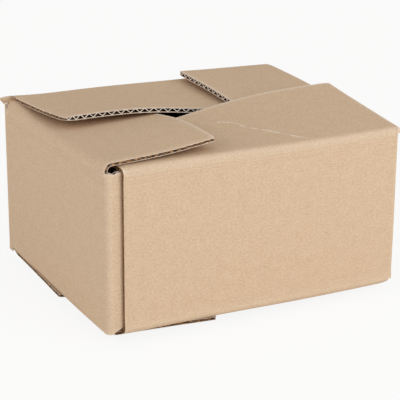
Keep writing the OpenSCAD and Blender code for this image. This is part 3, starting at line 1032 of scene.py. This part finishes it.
# Where a die crushed and tore it, the core is a band of pale fibres and hollows, with the hollows' shade
# painted dark
tornCore = {
    # painted shade colour of the hollows
    "hollowShade": "#472e1c",
    "fibre": "#d2a273",
    "recessRamp": (0.35, 0.65),
    "toneRamp": (0.38, 0.54),
    "relief": 0.1,
    "rough": (0.9, 0.98),
}


def tornCoreMaterial(name):
    material, add = newMaterial(name)
    place = add("Attribute", {"attribute_name": "cut"}, out="Vector")
    torn = add("TexNoise", fourD, Vector=place, W=crushed["Seed"], Scale=1.0, Detail=1.0)
    share = add("MapRange", None, torn, *tornCore["toneRamp"])
    # the hollows' dark colour is painted shade
    colour = add("Mix", colourMix, share, linear(tornCore["fibre"]), linear(tornCore["hollowShade"]))
    finishPaper(add, tornCore, colour, torn, torn)
    return material


ribbons = list(sideRibbons())
starts = np.cumsum([0] + [len(outer) for outer, *_ in ribbons])
ribbonFaces = np.concatenate([loop + start for (*_, loop), start in zip(ribbons, starts)])
outer, inward, cut = (np.concatenate([each[n] for each in ribbons]) for n in range(3))
crushedCore = meshFrom("crushed_core", outer, ribbonFaces, {"inward": inward, "cut": cut})
applyGroup(crushedCore, crushedCoreGroup(), crushed | {"Material": tornCoreMaterial("crushed_torn_core_painted_shade")})

# Loose fibres and slivers that stand out of the cut liners
fibres = {
    "Density": 300000.0,
    "Fibre Length": 0.75 * mm,
    "Fibre Width": 0.085 * mm,
    "Tip Share": 0.3,
    "Lean": 0.7,
    "Smallest": 0.4,
    "Largest": 1.3,
    "Seed": 7,
}


def tornFibreGroup():
    tree, add, given = newGroup("torn_fibres", fibres)
    seed = given["Seed"]
    scatter = add("GeometryNodeDistributePointsOnFaces", Mesh=given["Geometry"],
                  Density=given["Density"], Seed=seed)
    tip = add("Math", multiply, given["Fibre Width"], given["Tip Share"])
    sliver = add("GeometryNodeMeshCone", Vertices=4, Radius_Bottom=given["Fibre Width"],
                 Radius_Top=tip, Depth=given["Fibre Length"])
    way = add("FunctionNodeRandomValue", vector, (-1.0,) * 3, (1.0,) * 3, Seed=seed)
    normal = scatter.node.outputs["Normal"]
    lean = add("VectorMath", scale, normal, Scale=given["Lean"])
    way = add("VectorMath", plus, way, lean)
    turn = add("FunctionNodeAlignRotationToVector", {"axis": "Z"}, Vector=way)
    size = add("FunctionNodeRandomValue", {"data_type": "FLOAT"}, given["Smallest"],
               given["Largest"], Seed=seed)
    planted = add("GeometryNodeInstanceOnPoints", Points=scatter, Instance=sliver, Rotation=turn,
                  Scale=size)
    closeGroup(add, planted, given["Material"])
    return tree


tornFibres = meshFrom("torn_fibres", points, faces[(kinds == cutEdge) | (kinds == jointEdge)], {})
fibreMaterial = rawCut("torn_paper_fibre", cutPaper["pale"], cutPaper["fibre"])
applyGroup(tornFibres, tornFibreGroup(), fibres | {"Material": fibreMaterial})

sheets = {key: np.concatenate(paper[key]) for key in paper}
flutes = {"across": sheets["across"] * mm, "along": sheets["along"], "fromCut": sheets["fromCut"]}
flutedPaper = meshFrom("fluted_paper", sheets["points"], sheets["quads"], flutes)
applyGroup(flutedPaper, flutedPaperGroup(), fluting | {"Material": corePaper("fluted_medium_painted_shade", True)})

# Matt white paper sweep. The camera sees it nearly white, and the carton's shadow still shows on it.
sweep = {"size": 6.0, "colour": "#f6f6f6", "glowShare": 0.88}
white = (1.0, 1.0, 1.0, 1.0)

floorMaterial, add = newMaterial("paper_sweep")
glow = add("Emission", Color=white, Strength=1.0)
matt = add("BsdfDiffuse", Color=linear(sweep["colour"]))
onCamera = add("LightPath", out="Is Camera Ray")
share = add("Math", multiply, onCamera, sweep["glowShare"])
surface = add("MixShader", None, share, matt, glow)
add("OutputMaterial", Surface=surface)
bpy.ops.mesh.primitive_plane_add(size=sweep["size"], location=(0, 0, cadBox[0][2]))
floor = bpy.context.object
floor.name = "floor"
floor.data.materials.append(floorMaterial)

studio = {
    "sky": 0.54,
    "skyColour": "#fffcf8",
    "lampColour": "#fdffff",
    "key": {"place": (0.9, -2.0, 0.9), "size": 1.6, "power": 22.8},
    "fill": {"place": (-2.2, -0.3, 0.9), "size": 1.6, "power": 12.0},
}

world = bpy.data.worlds.new("studio")
bpy.context.scene.world = world
world.use_nodes = True
world.node_tree.nodes.clear()
add = partial(addNode, world.node_tree)
sky = add("Background", Color=linear(studio["skyColour"]), Strength=studio["sky"])
backdrop = add("Background", Color=white, Strength=1.0)
onCamera = add("LightPath", out="Is Camera Ray")
surface = add("MixShader", None, onCamera, sky, backdrop)
add("OutputWorld", Surface=surface)


def areaLight(name, place, size, power):
    light = bpy.data.lights.new(name, "AREA")
    light.size, light.energy, light.color = size, power, linear(studio["lampColour"])[:3]
    lamp = bpy.data.objects.new(name, light)
    lamp.location = place
    lamp.rotation_euler = Vector(place).to_track_quat("Z", "Y").to_euler()
    bpy.context.scene.collection.objects.link(lamp)


for name in ("key", "fill"):
    areaLight(name, **studio[name])
print("floor and light done")

# Camera as a perspective fit of the carton's corners to the photo gives it
view = {
    "place": (-557.6, -1059.7, 497.7),
    "yaw": 27.872,
    "pitch": 20.008,
    "roll": -0.354,
    "lens": 147.77,
    "sensor": 36.0,
    "clipEnd": 20.0,  # metres
}
yaw, pitch, roll = (math.radians(view[key]) for key in ("yaw", "pitch", "roll"))
ahead = Vector((math.sin(yaw) * math.cos(pitch), math.cos(yaw) * math.cos(pitch), -math.sin(pitch)))
right = Vector((math.cos(yaw), -math.sin(yaw), 0))
down = ahead.cross(right)
right, down = (math.cos(roll) * right + math.sin(roll) * down,
               math.cos(roll) * down - math.sin(roll) * right)
camera = bpy.data.objects.new("camera", bpy.data.cameras.new("camera"))
camera.data.lens = view["lens"]
camera.data.sensor_width = view["sensor"]
camera.data.sensor_fit = "HORIZONTAL"
camera.data.clip_end = view["clipEnd"]
facing = Matrix((right, -down, -ahead)).transposed().to_4x4()
camera.matrix_world = Matrix.Translation(Vector(view["place"]) * mm) @ facing
bpy.context.scene.collection.objects.link(camera)
bpy.context.scene.camera = camera
bpy.context.scene.view_settings.view_transform = "Standard"

for piece in (cartonBoard, flutedPaper, crushedCore, tornFibres):
    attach(piece, "root")
    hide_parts("carton")
